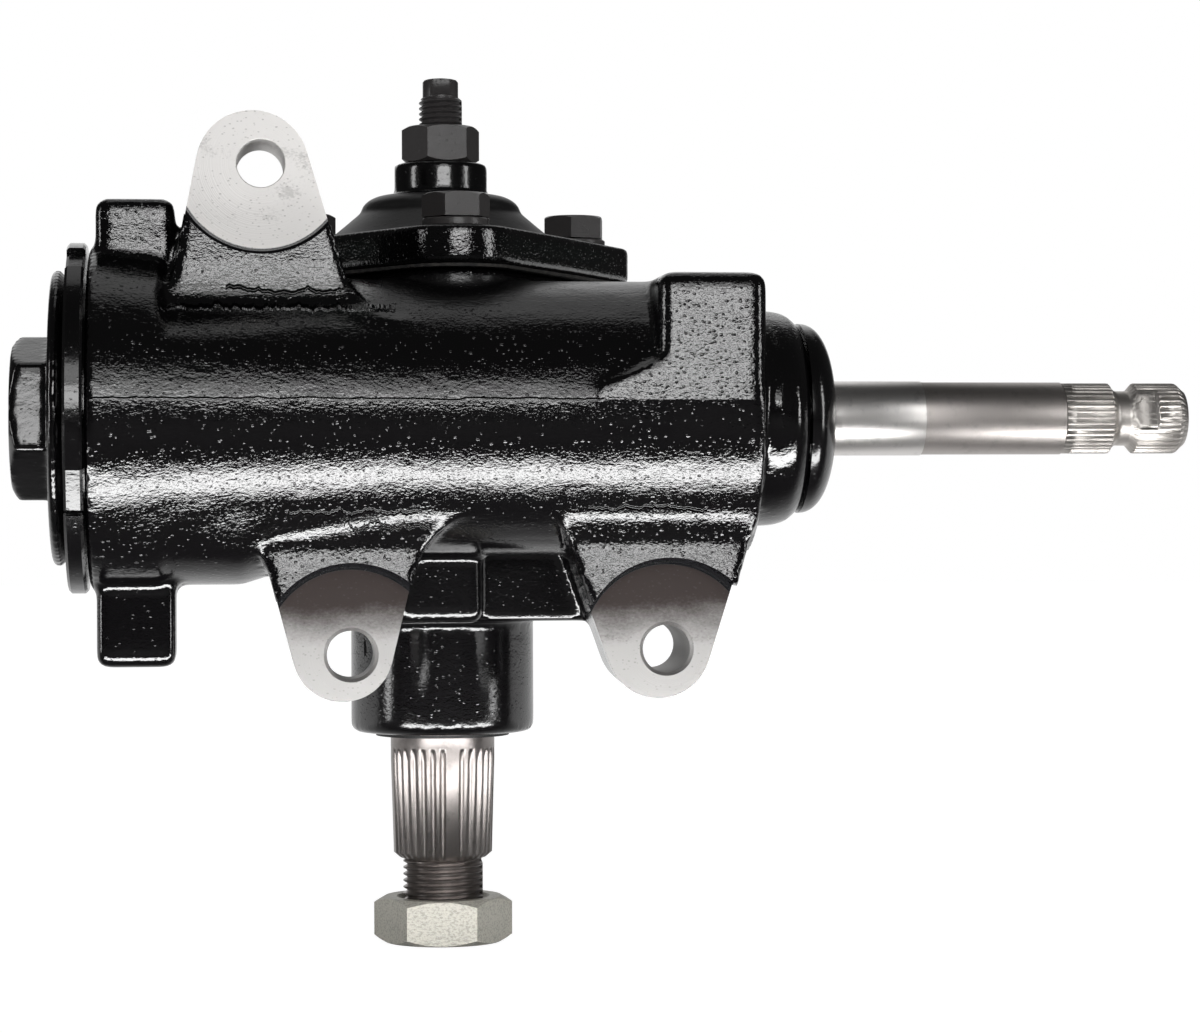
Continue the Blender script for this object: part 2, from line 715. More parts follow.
def gloss_paint(groups, name, colour, dull_to=0.0):
    """Black paint on turned or smoothly cast pieces, duller below a height."""
    material, tree, shader = new_material(name, colour, 0.2, Specular_IOR_Level=0.8)
    grain = use_group(tree, groups["grain"], {"Lump Scale": 130.0, "Peel Scale": 800.0})
    rough = maths(tree, "MULTIPLY_ADD", grain["Flecks"], 0.08, 0.15)
    dull = ramp(tree, place_parts(tree)[2], dull_to + 0.0005, dull_to)
    fill(tree, shader, {"Roughness": maths(tree, "MULTIPLY_ADD", dull, 0.30, rough)})
    add_bump(tree, shader, grain["Height"], 0.00015)
    return material


def hardware_paint(groups, colour):
    """Satin black on bolts and nuts, a little worn."""
    material, tree, shader = new_material("satin_black_hardware", colour, 0.3)
    grain = use_group(tree, groups["grain"], {"Lump Scale": 240.0, "Peel Scale": 1400.0})
    rough = maths(tree, "MULTIPLY_ADD", grain["Flecks"], 0.12, 0.34)
    fill(tree, shader, {"Roughness": rough})
    add_bump(tree, shader, grain["Height"], 0.00012)
    return material


def machined_steel(groups, colour):
    """Bare faced iron with cutter rings, dark specks and paint that strayed over its rim.

    Low ears are duller, and dark towards their feet.
    """
    material, tree, shader = new_material("machined_iron", colour, 0.32, 1.0)
    marks = use_group(tree, groups["machining"])
    grain = use_group(tree, groups["grain"], {"Lump Scale": 90.0, "Pit Scale": 1500.0, "Pit": 0.0})
    z = place_parts(tree)[2]
    away = marks["Distance"]
    step = maths(tree, "MULTIPLY_ADD", grain["Height"], 0.0004, away)
    step = ramp(tree, step, 0.0222, 0.0224)
    stray = maths(tree, "MULTIPLY_ADD", grain["Height"], 0.0050, away)
    stray = product(tree, ramp(tree, stray, 0.0278, 0.0282), ramp(tree, z, 0.1500, 0.1400))
    painted = maths(tree, "MAXIMUM", step, stray)
    speck = product(tree, ramp(tree, grain["Height"], 0.50, 0.58), 0.25)
    speck = maths(tree, "MULTIPLY_ADD", grain["Flecks"], 0.3, speck)
    tone = ramp(tree, maths(tree, "MULTIPLY_ADD", grain["Height"], 0.016, z), 0.0910, 0.1030)
    tone = product(tree, tone, ramp(tree, z, 0.150, 0.130))
    bare = blend_colour(tree, ramp(tree, z, 0.1500, 0.1400), dimmed(colour), dimmed(colour, 0.46))
    bare = blend_colour(tree, tone, bare, (0.045, 0.037, 0.035, 1))
    bare = blend_colour(tree, speck, bare, (0.10, 0.095, 0.09, 1))
    rough = maths(tree, "MULTIPLY_ADD", grain["Flecks"], 0.08, 0.56)
    fill(tree, shader, {"Base Color": blend_colour(tree, painted, bare, (0.008, 0.008, 0.009, 1)),
                        "Metallic": maths(tree, "SUBTRACT", 1.0, painted),
                        "Roughness": maths(tree, "MULTIPLY_ADD", painted, -0.36, rough)})
    fillet = maths(tree, "MAXIMUM", maths(tree, "SUBTRACT", away, 0.0228), 0.0)
    add_bump(tree, shader, maths(tree, "MULTIPLY_ADD", marks["Height"], 0.00003, fillet), 1.0)
    return material


def turned_steel(groups, name, colour, roughness, along, stains):
    """Ground or turned steel with fine lines round the axis along X or Z and faint stains."""
    material, tree, shader = new_material(name, colour, roughness, 1.0)
    lines = use_group(tree, groups["turning"], {"Along " + along: 9000.0})
    stain = product(tree, ramp(tree, lines["Stain"], 0.52, 0.72), stains)
    rough = maths(tree, "MULTIPLY_ADD", lines["Height"], 0.22, roughness - 0.11)
    fill(tree, shader, {"Base Color": blend_colour(tree, stain, dimmed(colour), dimmed(colour, 0.35)),
                        "Roughness": rough})
    add_bump(tree, shader, lines["Height"], 0.00002, 0.7)
    return material


def ground_steel(groups, colour):
    """Bright ground journal with black overspray near the seal."""
    material = turned_steel(groups, "ground_steel", colour, 0.33, "X", 0.3)
    tree = material.node_tree
    shader = tree.nodes["Principled BSDF"]
    grain = use_group(tree, groups["grain"], {"Lump Scale": 500.0, "Peel Scale": 2400.0})
    x = place_parts(tree)[0]
    edge = maths(tree, "MULTIPLY_ADD", grain["Height"], -0.0220, x)
    mist = ramp(tree, edge, NOSE_RIGHT - 0.0010, NOSE_RIGHT - 0.0070)
    colour_link = shader.inputs["Base Color"].links[0].from_socket
    fill(tree, shader, {"Base Color": blend_colour(tree, mist, colour_link, (0.012, 0.011, 0.011, 1)),
                        "Metallic": maths(tree, "SUBTRACT", 1.0, mist)})
    return material


def zinc(groups, colour):
    """Pale grainy zinc plate, slightly green."""
    material, tree, shader = new_material("zinc_plate", colour, 0.5, 0.3)
    grain = use_group(tree, groups["grain"], {"Lump": 0.1, "Peel": 0.6, "Peel Scale": 1900.0})
    shade = ramp(tree, grain["Height"], 0.32, 0.44)
    fill(tree, shader, {"Base Color": blend_colour(tree, shade, dimmed(colour), dimmed(colour, 0.70)),
                        "Roughness": maths(tree, "MULTIPLY_ADD", grain["Flecks"], 0.2, 0.46)})
    add_bump(tree, shader, grain["Height"], 0.00018)
    return material


def rubber(groups):
    """Dull black seal rubber."""
    material, tree, shader = new_material("seal_rubber", (0.012, 0.012, 0.012), 0.55)
    grain = use_group(tree, groups["grain"], {"Lump Scale": 500.0, "Peel Scale": 2600.0})
    add_bump(tree, shader, grain["Height"], 0.00008)
    return material


def paper(groups):
    """Grey-black gasket paper with fibres."""
    material, tree, shader = new_material("gasket_paper", (0.03, 0.029, 0.028), 0.85)
    grain = use_group(tree, groups["grain"], {"Lump Scale": 900.0, "Peel Scale": 3000.0})
    fibres = ramp(tree, grain["Height"], 0.36, 0.55)
    fibres = blend_colour(tree, fibres, (0.02, 0.02, 0.02, 1), (0.06, 0.055, 0.05, 1))
    fill(tree, shader, {"Base Color": fibres})
    return material


MATERIALS = {}


def build_materials():
    """Make every finish once."""
    finish = bpy.context.scene.gearbox_finish
    groups = make_groups()
    MATERIALS.update({
        "cast": cast_paint(groups, "cast_black_paint", finish.paint_colour),
        "cover": cast_paint(groups, "cast_cover_paint", finish.paint_colour, 0.0),
        "gloss": gloss_paint(groups, "gloss_black_paint", finish.paint_colour),
        "dome": gloss_paint(groups, "dome_black_paint", finish.paint_colour, 0.2072),
        "hardware": hardware_paint(groups, finish.hardware_colour),
        "machined": machined_steel(groups, finish.machined_colour),
        "ground": ground_steel(groups, finish.steel_colour),
        "satin_steel": turned_steel(groups, "satin_steel", (0.50, 0.465, 0.445), 0.40, "X", 0.2),
        "spline_steel": turned_steel(groups, "spline_steel", (0.60, 0.57, 0.54), 0.42, "X", 0.3),
        "pitman_steel": turned_steel(groups, "pitman_steel", (0.27, 0.248, 0.238), 0.33, "Z", 0.35),
        "inner_steel": turned_steel(groups, "inner_steel", (0.36, 0.34, 0.33), 0.36, "X", 0.3),
        "bronze": turned_steel(groups, "bushing_bronze", (0.55, 0.38, 0.20), 0.38, "Z", 0.2),
        "zinc": zinc(groups, finish.zinc_colour),
        "rubber": rubber(groups),
        "paper": paper(groups),
    })


# Forms of the casting


def front_radius(x):
    """Radius of the barrel's front, which narrows evenly from the collar."""
    step = np.where(x < COLLAR_STEP, 0.0005, 0.0)
    return np.interp(x, [BARREL_LEFT, FRONT_TAPER_END], [COLLAR_RADIUS - 0.0009, BARREL_RADIUS]) + step


def barrel_mesh():
    """Barrel, collar and nose: a turned profile whose front narrows evenly instead.

    The turn is measured from the front, upwards above 0. Down to 36 degrees below it and up to 80
    above it the radius is the front's, from 62 degrees below and 110 above on it is the profile's,
    with smooth steps between them. Left of the taper's end the front goes over to a slimmer barrel
    under the upper ear, between 22 and 50 degrees above it.
    """
    profile = np.array([
        (POLE, BARREL_LEFT), (COLLAR_RADIUS - 0.0008, BARREL_LEFT),
        (COLLAR_RADIUS, BARREL_LEFT + 0.0008), (COLLAR_RADIUS, COLLAR_STEP),
        (NECK_RADIUS, COLLAR_STEP + 0.0020), (NECK_RADIUS, NECK_END),
        (NECK_RADIUS - 0.0022, NECK_END + 0.0070), (BARREL_RADIUS + 0.0014, TAPER_END - 0.0050),
        (BARREL_RADIUS, TAPER_END), (BARREL_RADIUS, FRONT_TAPER_END),
        (BARREL_RADIUS, BARREL_RIGHT - 0.0006), (BARREL_RADIUS - 0.0006, BARREL_RIGHT),
        (NOSE_RADIUS, BARREL_RIGHT), (NOSE_RADIUS, NOSE_SHOULDER),
        (NOSE_RADIUS - 0.0009, NOSE_SHOULDER + 0.0040), (NOSE_TIP_RADIUS, NOSE_RIGHT - 0.0010),
        (NOSE_TIP_RADIUS - 0.0010, NOSE_RIGHT), (POLE, NOSE_RIGHT)])
    radius, height = profile[:, :1], profile[:, 1:]
    angle = np.linspace(0, 2 * np.pi, 144, endpoint=False)
    turn = np.pi - angle
    part = np.where(turn > 0, smooth_step(turn, 80, 110), smooth_step(-turn, 36, 62))
    narrowing = (height > BARREL_LEFT) & (height < FRONT_TAPER_END)
    evenly = np.where(height > NECK_END, front_radius(height), np.minimum(front_radius(height), radius))
    front = np.where(narrowing, evenly, radius)
    slim = np.where((height > COLLAR_STEP) & (height < FRONT_TAPER_END), UPPER_EAR_BARREL, front)
    upper = smooth_step(turn, 22, 50)
    front = front * (1 - upper) + np.minimum(slim, front) * upper
    return polar("barrel", front * (1 - part) + radius * part, height, angle, "worm")


def smooth_step(turn, low, high):
    """0 below the low angle and 1 above the high one, in degrees, as 3t^2 - 2t^3 between them."""
    part = np.clip((np.degrees(turn) - low) / (high - low), 0, 1)
    return part * part * (3 - 2 * part)


def ear_front_cutter(ear):
    """All that lies before an ear's cast front.

    The front is a plane that bends at one height, and runs smoothly into a face that stands 0.5 mm
    proud of the barrel at the foot and sinks into it further in, which keeps the barrel clean. With
    both depths a and b and the width w of the change, depth = (a + b + sqrt((a - b)^2 + w^2)) / 2.
    """
    across = np.linspace(ear["x"] - 0.08, ear["x"] + 0.08, 33)[:, None]
    height = np.linspace(0.06, 0.24, 121)[None]
    bend = height - ear["bend"]
    plane = ear["foot"] + np.where(bend > 0, bend * ear["leans"][0], -bend * ear["leans"][1])
    if ear["up"] > 0:
        plane = plane - 0.35 * np.maximum(0.1700 - height, 0)
    radius = UPPER_EAR_BARREL if ear["up"] > 0 else front_radius(across)
    away = np.abs(height - WORM_Z)
    offset = np.clip((away - 0.0240) / 0.0060, 0, 1) * 0.0008 - 0.0003
    offset = offset - 0.0060 * np.clip((0.0225 - away) / 0.0040, 0, 1)
    proud = -WORM_Y + np.sqrt(np.maximum(radius ** 2 - away ** 2, 0)) + offset
    depth = -(plane + proud + np.sqrt((plane - proud) ** 2 + 0.0012 ** 2)) / 2
    wide, tall, depth = np.broadcast_arrays(across, height, depth)
    near = np.stack([wide, depth, tall], axis=-1)
    far = np.stack([wide, np.full_like(depth, -0.13), tall], axis=-1)
    return skin("ear_front", np.concatenate([near, far[:, ::-1]], axis=1))


def tower_profile():
    return [(0, TOWER_BOTTOM), (TOWER_RADIUS - 0.0015, TOWER_BOTTOM),
            (TOWER_RADIUS - 0.0004, TOWER_BOTTOM + 0.0006), (TOWER_RADIUS, TOWER_BOTTOM + 0.0018),
            (TOWER_RADIUS, TOWER_ROOT - 0.0040), (TOWER_ROOT_RADIUS, TOWER_ROOT),
            (TOWER_ROOT_RADIUS, CHAMBER_BOTTOM), (CHAMBER_RADIUS, CHAMBER_BOTTOM + 0.0060),
            (CHAMBER_RADIUS, FLANGE_BOTTOM + 0.0020), (0, FLANGE_BOTTOM + 0.0020)]


def bolt_places():
    """Where each cover bolt stands."""
    return {name: (COVER_SHIFT + BOLT_CIRCLE * np.cos(angle), BOLT_CIRCLE * np.sin(angle))
            for name, angle in BOLT_ANGLES.items()}


def bolt_holes(low, high, steps):
    return [turned("hole", [(0, low), (0.0051, low), (0.0051, high), (0, high)], steps, at=place)
            for place in bolt_places().values()]


def cover_circles(grow=0.0):
    lobes = [(x, y, 0.0156 + grow) for x, y in bolt_places().values()]
    return lobes + [(0, 0, CHAMBER_BORE + 0.0083 + grow)]


def casting_forms():
    """Solid forms that the casting is melted from."""
    front = WORM_Y - BARREL_RADIUS - CORNER_PROUD
    under = WORM_Z - BARREL_RADIUS / 2
    web = [(0.0, 0.0900), (0.0400, 0.0900), (0.0460, 0.1005), (0.0600, 0.1005), (0.0600, under),
           (0.0, under)]
    forms = [barrel_mesh(), turned("tower", tower_profile(), 112),
             rounded_box("corner", (CORNER_LEFT, front, 0.1425),
                         (BARREL_RIGHT + GAP, front + 0.0440, WORM_Z + BARREL_RADIUS + CORNER_PROUD),
                         0.0036),
             outline_slab("gusset", [(0.0350, 0.1516), (0.0350, 0.1416), (0.0530, 0.1416),
                                     (0.0530, 0.1600)], front, front + 0.0200, "Y"),
             rounded_box("rib", (-0.0185, -0.0480, 0.0900), (0.0078, -0.0080, under), 0.0030),
             outline_slab("web", web, -0.0300, -0.0080, "Y"),
             rounded_box("pad_lower", (*PAD_LOW, 0.0795), (*PAD_HIGH, 0.1145), PAD_EDGE),
             rounded_box("pad_upper", (*PAD_LOW, 0.1745), (*PAD_HIGH, 0.2013), PAD_EDGE),
             outline_slab("flange", hull_outline(cover_circles(-0.0010)), FLANGE_BOTTOM, FLANGE_TOP)]
    for ear in EARS.values():
        plate = carve(new_object("ear", ear_mesh(ear)), ear_front_cutter(ear))
        forms.append(plate.data)
        bpy.data.objects.remove(plate, do_unlink=True)
    return forms


def casting_bores():
    """Bored hollows of the casting: along the steering shaft, then down the pitman shaft."""
    worm = turned("worm_bore", [
        (0, BARREL_LEFT - 0.01), (PLUG_THREAD + GAP, BARREL_LEFT - 0.01),
        (PLUG_THREAD + GAP, -0.0575),
        (BARREL_BORE, -0.0575), (BARREL_BORE, 0.0558), (0.0238, 0.0558), (0.0238, 0.0673),
        (0.0140, 0.0673), (0.0140, 0.0804966), (SEAL_BORE, 0.0804966), (SEAL_BORE, NOSE_RIGHT + 0.01),
        (0, NOSE_RIGHT + 0.01)], 96, "worm")
    sector = turned("sector_bore", [
        (0, TOWER_BOTTOM - 0.01), (0.0210, TOWER_BOTTOM - 0.01), (0.0210, 0.0658), (0.01845, 0.0658),
        (0.01845, CHAMBER_FLOOR), (CHAMBER_BORE, CHAMBER_FLOOR), (CHAMBER_BORE, COVER_BOTTOM + 0.01),
        (0, COVER_BOTTOM + 0.01)], 96)
    return worm, sector


def along_y(mesh, x, z):
    """Turn a mesh made about Z at the middle so that its height runs towards -Y at a place."""
    turn = Matrix.Translation((x, 0, z)) @ Matrix.Rotation(np.pi / 2, 4, "X")
    mesh.transform(turn)
    return mesh


def ear_cutters():
    """Facing cutters, bolt holes with their chamfers, and the rib's oblong hollow."""
    cutters = []
    for name, ear in EARS.items():
        chamfer = 0.0002 if name == "upper" else 0.0009
        back, face, front = -EAR_PLANE - 0.05, -EAR_PLANE, -EAR_CAST_PLANE + 0.02
        profile = [(0, back), (EAR_HOLE, back), (EAR_HOLE, face - chamfer), (EAR_HOLE + chamfer, face),
                   (SPOT_FACE, face), (SPOT_FACE, front), (0, front)]
        cutters.append(along_y(turned("ear_cutter", profile, 128), ear["x"], ear["z"]))
    slot = hull_outline([(-0.0042, 0, 0.0023), (0.0042, 0, 0.0023)], 12)
    recess = outline_slab("recess", slot, 0.0478, 0.0600)
    recess.transform(Matrix.Translation((0.0030, 0, 0.0978)) @ Matrix.Rotation(np.pi / 2, 4, "X")
                     @ Matrix.Rotation(np.radians(-50), 4, "Z"))
    return cutters + [recess]


def choose_housing(middle, normal):
    """1 on the machined ear faces and in their holes, else 0."""
    bare = (np.abs(middle[:, 1] - EAR_PLANE) < 0.0002) & (normal[:, 1] < -0.98)
    for ear in EARS.values():
        away = np.hypot(middle[:, 0] - ear["x"], middle[:, 2] - ear["z"])
        bare |= (away < 0.0073) & (middle[:, 1] > EAR_PLANE - 0.001) & (middle[:, 1] < -0.020)
    return bare


# Operators


class GearboxSizes(bpy.types.PropertyGroup):
    """Sizes that a user would change."""
    cast_voxel: FloatProperty(name="Casting Detail", description="Smallest form of the casting",
                              default=0.00115, min=0.0006, max=0.004, unit="LENGTH")
    cast_smoothing: IntProperty(name="Casting Softness", description="How round its corners are",
                                default=7, min=0, max=40)
    pitman_pitch: FloatProperty(name="Pitman Thread Pitch", description="Of the pitman shaft's thread",
                                default=0.00181, min=0.0008, max=0.003, unit="LENGTH")
    screw_pitch: FloatProperty(name="Adjuster Pitch", description="Of the lash adjuster's thread",
                               default=0.0015, min=0.0008, max=0.003, unit="LENGTH")
    washer_split: FloatProperty(name="Washer Split", description="Angle of the gap in the washers",
                                default=0.14, min=0.02, max=0.6, subtype="ANGLE")


class GearboxFinish(bpy.types.PropertyGroup):
    """Colours that a user would change."""
    paint_colour: FloatVectorProperty(name="Paint", description="Housing paint", subtype="COLOR",
                                      default=(0.0025, 0.0023, 0.0026), min=0, max=1)
    hardware_colour: FloatVectorProperty(name="Hardware", description="Bolts and nuts",
                                         subtype="COLOR", default=(0.060, 0.056, 0.056), min=0, max=1)
    machined_colour: FloatVectorProperty(name="Machined Faces", description="Bare faced iron",
                                         subtype="COLOR", default=(0.75, 0.735, 0.72), min=0, max=1)
    steel_colour: FloatVectorProperty(name="Ground Steel", description="Steering shaft journal",
                                      subtype="COLOR", default=(0.80, 0.775, 0.755), min=0, max=1)
    zinc_colour: FloatVectorProperty(name="Zinc", description="Pitman nut", subtype="COLOR",
                                     default=(0.47, 0.455, 0.40), min=0, max=1)


class GEARBOX_OT_housing(bpy.types.Operator):
    """Cast housing with its bores, faced ears and bolt holes"""
    bl_idname = "gearbox.housing"
    bl_label = "Housing"

    def execute(self, context):
        sizes = context.scene.gearbox_sizes
        item = cast("housing_casting", sizes.cast_voxel, sizes.cast_smoothing, *casting_forms())
        worm, sector = casting_bores()
        carve(item, worm)
        carve(item, sector)
        carve(item, *bolt_holes(0.1723, 0.19, 24), *ear_cutters())
        dress(item, "housing", "cast_black_paint", MATERIALS["cast"], MATERIALS["machined"],
              choose=choose_housing)
        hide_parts("housing")
        return {"FINISHED"}


class GEARBOX_OT_side_cover(bpy.types.Operator):
    """Side cover: plate, domed cone and threaded boss"""
    bl_idname = "gearbox.side_cover"
    bl_label = "Side Cover"

    def execute(self, context):
        plate = outline_slab("plate", hull_outline(cover_circles()), COVER_BOTTOM, COVER_TOP,
                             edge=0.0012)
        rise = np.radians(np.linspace(0, 80, 9))
        shoulder = [(0.0222 - 0.0093 * 0.82 * (1 - np.cos(turn)), 0.2030 + 0.0048 * np.sin(turn))
                    for turn in rise]
        dome = turned("dome", [
            (0, 0.1600), (0.0205, 0.1600), (0.0205, 0.1800), (0.0308, 0.1800), (0.0308, 0.1958),
            (0.0293, 0.1970), *shoulder, (0.0129, BOSS_BOTTOM), (0.0129, BOSS_TOP - 0.0008),
            (0.0121, BOSS_TOP), (0, BOSS_TOP)], 112)
        item = cast("side_cover_casting", 0.0008, 3, plate, dome)
        bore = turned("bore", [(0, 0.1500), (0.0169, 0.1500), (0.0169, 0.1945), (0.0063, 0.1975),
                               (0.0063, 0.2300), (0, 0.2300)], 64)
        carve(item, bore)
        carve(item, *bolt_holes(0.17, 0.21, 32))
        dress(item, "housing", "satin_black_paint", MATERIALS["dome"], MATERIALS["cover"],
              choose=lambda middle, normal: (np.abs(normal[:, 2]) < 0.7) & (middle[:, 2] < COVER_TOP))
        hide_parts("side_cover")
        return {"FINISHED"}


class GEARBOX_OT_cover_bolts(bpy.types.Operator):
    """Hexagon bolts of the cover with their split spring washers"""
    bl_idname = "gearbox.cover_bolts"
    bl_label = "Cover Bolts"

    def execute(self, context):
        split = context.scene.gearbox_sizes.washer_split
        low = COVER_TOP + GAP + WASHER_HEIGHT + GAP
        for name, place in bolt_places().items():
            angle, rows = hex_rows(BOLT_FLATS, low, low + BOLT_HEAD, BOLT_TURNS[name], low=False)
            shank = [ring_row(POLE, low - 0.0240), ring_row(0.0040, low - 0.0240),
                     ring_row(0.0048, low - 0.0232), ring_row(0.0048, low)]
            crown = [ring_row(0.0052, low + BOLT_HEAD), ring_row(0.0045, low + 0.0060),
                     ring_row(POLE, low + 0.0060)]
            bolt = new_object("bolt_" + name, hex_mesh("bolt", shank + rows + crown, angle, at=place))
            dress(bolt, "housing", "hardware_black", MATERIALS["hardware"], sharp=20)
            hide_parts("cover_bolt_" + name)
            turn = np.linspace(split, 2 * np.pi, 97) + BOLT_TURNS[name] * 3 - 0.9
            outward = np.stack([np.cos(turn), np.sin(turn), np.zeros_like(turn)], axis=-1)
            upward = np.broadcast_to([0.0, 0.0, 1.0], outward.shape)
            path = np.array([*place, COVER_TOP + 0.00145]) + outward * 0.00705
            corner = np.array([(1, 0.7), (0.8, 1), (-0.8, 1), (-1, 0.7), (-1, -0.7), (-0.8, -1),
                               (0.8, -1), (1, -0.7)]) * (0.00195, 0.00113)
            washer = new_object("washer_" + name, swept("washer", path, outward, upward, corner))
            dress(washer, "housing", "hardware_black", MATERIALS["hardware"])
            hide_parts("cover_washer_" + name)
        return {"FINISHED"}


class GEARBOX_OT_lash_adjuster(bpy.types.Operator):
    """Threaded lash adjuster with its squared tip, and its lock nut"""
    bl_idname = "gearbox.lash_adjuster"
    bl_label = "Lash Adjuster"

    def execute(self, context):
        pitch = context.scene.gearbox_sizes.screw_pitch
        thread = polar("thread", *thread_rows(0.0060, 0.00515, pitch, 0.2180, SCREW_TOP))
        angle = np.linspace(0, 2 * np.pi, 96, endpoint=False)
        level = np.array([SCREW_TOP - 0.0006, SCREW_TOP + 0.0004, SCREW_TOP + 0.00041,
                          TIP_TOP - 0.0008, TIP_TOP - 0.0002, TIP_TOP])
        reach = np.array([0.00495, 0.00495, 0.00495, 0.00495, 0.0045, 0.0038])[:, None]
        flat = np.where(np.arange(6)[:, None] > 1, 0.0040 / np.maximum(np.abs(np.sin(angle)), 0.1), 1.0)
        tip = polar("tip", np.minimum(reach, flat), level[:, None], angle)
        inner = kept_part("lash_adjuster_screw", (0, 0, -1), (0, 0, 0.2185))
        screw = new_object("adjuster_screw", thread, tip, inner)
        dress(screw, "housing", "hardware_black", MATERIALS["hardware"])
        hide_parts("lash_adjuster_screw")
        nut = new_object("adjuster_nut", nut_mesh(ADJUSTER_NUT_FLATS, 0.0063, 0.0006, NUT_BOTTOM,
                                                  NUT_TOP, 7))
        dress(nut, "housing", "hardware_black", MATERIALS["hardware"], sharp=20)
        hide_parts("lash_lock_nut")
        return {"FINISHED"}


class GEARBOX_OT_adjuster_plug(bpy.types.Operator):
    """Worm bearing adjuster plug with its cast hexagon, and the notched lock ring"""
    bl_idname = "gearbox.adjuster_plug"
    bl_label = "Adjuster Plug"

    def execute(self, context):
        body = turned("plug_body", [
            (0, -0.0901966), (0.0135, -0.0901966), (0.0135, -0.0672966), (0.0238, -0.0672966),
            (0.0238, -0.0582), (0.0345, -0.0582), (PLUG_THREAD, -0.0592), (PLUG_THREAD, -0.1009966),
            (0.0374, -0.1009966), (0.0374, -0.1021966), (0.0388, -0.1026), (0.0388, -0.1038),
            (0.0376, -0.1049966), (0, -0.1049966)], 128, "worm")
        angle, rows = hex_rows(PLUG_FLATS, PLUG_END, PLUG_FACE, np.radians(22.5), high=False)
        rows = [ring_row(POLE, PLUG_END)] + rows + [ring_row(POLE, PLUG_FACE)]
        hexagon = hex_mesh("plug_hex", rows, angle, "worm")
        item = cast("plug_casting", 0.0009, 3, body, hexagon)
        dress(item, "housing", "cast_black_paint", MATERIALS["gloss"])
        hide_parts("adjuster_plug")
        self.lock_ring()
        return {"FINISHED"}

    @staticmethod
    def lock_ring():
        """Ring as a star-shaped outline with four notches, its rims turned off."""
        half, depth, radius = 0.00635, 0.0021, 0.0459
        wall = np.arcsin(half / radius)
        angle, reach = [], []
        for notch in range(4):
            middle = np.radians(26) + notch * np.pi / 2
            floor = np.linspace(-half, half, 9)
            angle += [middle + np.arctan2(floor, radius - depth)]
            reach += [np.hypot(floor, radius - depth)]
            land = np.linspace(middle + wall, middle + np.pi / 2 - wall, 28)
            angle += [land]
            reach += [np.full(28, radius)]
        angle, reach = np.concatenate(angle), np.concatenate(reach)
        inner = np.full_like(reach, PLUG_THREAD + GAP)
        rim, left, right = 0.0007, -0.1006966, -0.0957966
        rows = [(inner, left), (reach - rim, left), (reach, left + rim), (reach, right - rim),
                (reach - rim, right), (inner, right)]
        # the local frame's first axis is Y and its second Z, and the ring's angles start at -Z
        rings = np.stack([np.stack([row[0] * np.sin(angle), -row[0] * np.cos(angle),
                                    np.full_like(angle, row[1])], axis=-1) for row in rows])
        item = new_object("lock_ring", skin("ring", on_axis(rings, "worm"), loop=True))
        dress(item, "housing", "cast_black_paint", MATERIALS["gloss"])
        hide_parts("adjuster_lock_ring")


